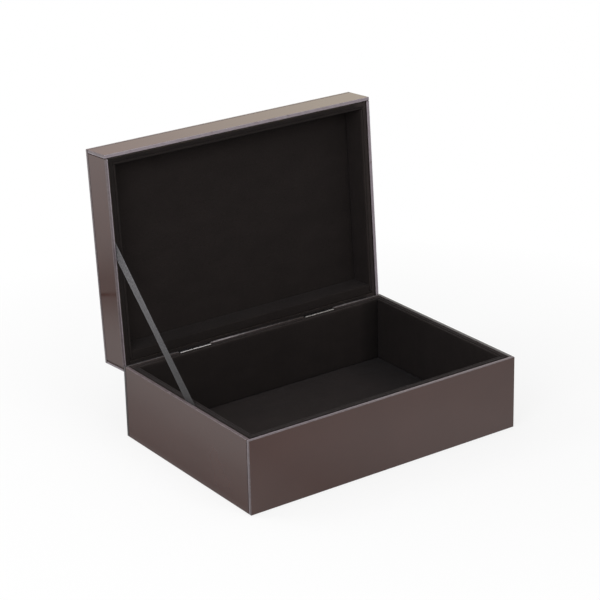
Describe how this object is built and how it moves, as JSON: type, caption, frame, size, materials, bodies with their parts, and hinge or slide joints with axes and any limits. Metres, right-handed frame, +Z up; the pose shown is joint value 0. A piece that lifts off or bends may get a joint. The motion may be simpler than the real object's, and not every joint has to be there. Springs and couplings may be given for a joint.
{
  "type": "decorative box",
  "caption": "Oblong keepsake box with glass-faced outside, velvet lining and a hinged lid held open by a ribbon stay on the left.",
  "frame": {"origin": "centre of the underside felt, on the surface that the box stands on", "axes": "+Z up, +X to the right along the front, +Y from the front to the hinged back"},
  "size_m": [0.27, 0.2307, 0.2472],
  "materials": {
    "painted_glass": "clear glass painted brown behind, high gloss, with pale ground edges",
    "carcass_board": "plain fibreboard",
    "velvet_lining": "short black velvet pile on card",
    "underfelt": "pressed black felt",
    "hinge_metal": "bright nickel plate, lightly brushed",
    "hinge_screw": "bright nickel plate",
    "stay_ribbon": "dark grey ribbed ribbon with a slight sheen"
  },
  "bodies": {
    "base": {"base_underfelt": "underfelt", "base_bottom_board": "carcass_board", "base_front_board": "carcass_board", "base_back_board": "carcass_board", "base_left_board": "carcass_board", "base_right_board": "carcass_board", "base_front_glass": "painted_glass", "base_back_glass": "painted_glass", "base_left_glass": "painted_glass", "base_right_glass": "painted_glass", "base_floor_lining": "velvet_lining", "base_front_lining": "velvet_lining", "base_back_lining": "velvet_lining", "base_left_lining": "velvet_lining", "base_right_lining": "velvet_lining", "base_rim_velvet": "velvet_lining", "left_hinge_base_leaf": "hinge_metal", "right_hinge_base_leaf": "hinge_metal", "left_hinge_base_leaf_screw_1": "hinge_screw", "left_hinge_base_leaf_screw_2": "hinge_screw", "right_hinge_base_leaf_screw_1": "hinge_screw", "right_hinge_base_leaf_screw_2": "hinge_screw", "left_hinge_pin": "hinge_metal", "right_hinge_pin": "hinge_metal", "stay_ribbon": "stay_ribbon"},
    "lid": {"lid_top_glass": "painted_glass", "lid_front_glass": "painted_glass", "lid_back_glass": "painted_glass", "lid_left_glass": "painted_glass", "lid_right_glass": "painted_glass", "lid_top_board": "carcass_board", "lid_front_board": "carcass_board", "lid_back_board": "carcass_board", "lid_left_board": "carcass_board", "lid_right_board": "carcass_board", "lid_top_lining": "velvet_lining", "lid_front_lining": "velvet_lining", "lid_back_lining": "velvet_lining", "lid_left_lining": "velvet_lining", "lid_right_lining": "velvet_lining", "lid_rim_velvet": "velvet_lining", "left_hinge_lid_leaf": "hinge_metal", "right_hinge_lid_leaf": "hinge_metal", "left_hinge_lid_leaf_screw_1": "hinge_screw", "left_hinge_lid_leaf_screw_2": "hinge_screw", "right_hinge_lid_leaf_screw_1": "hinge_screw", "right_hinge_lid_leaf_screw_2": "hinge_screw"}
  },
  "joints": [
    {"name": "lid_hinge", "type": "hinge", "parent": "base", "child": "lid", "pos_m": [0, 0.091, 0.0628], "axis": [1, 0, 0], "range_deg": [0, 93.65], "deforming": ["stay_ribbon"]}
  ]
}
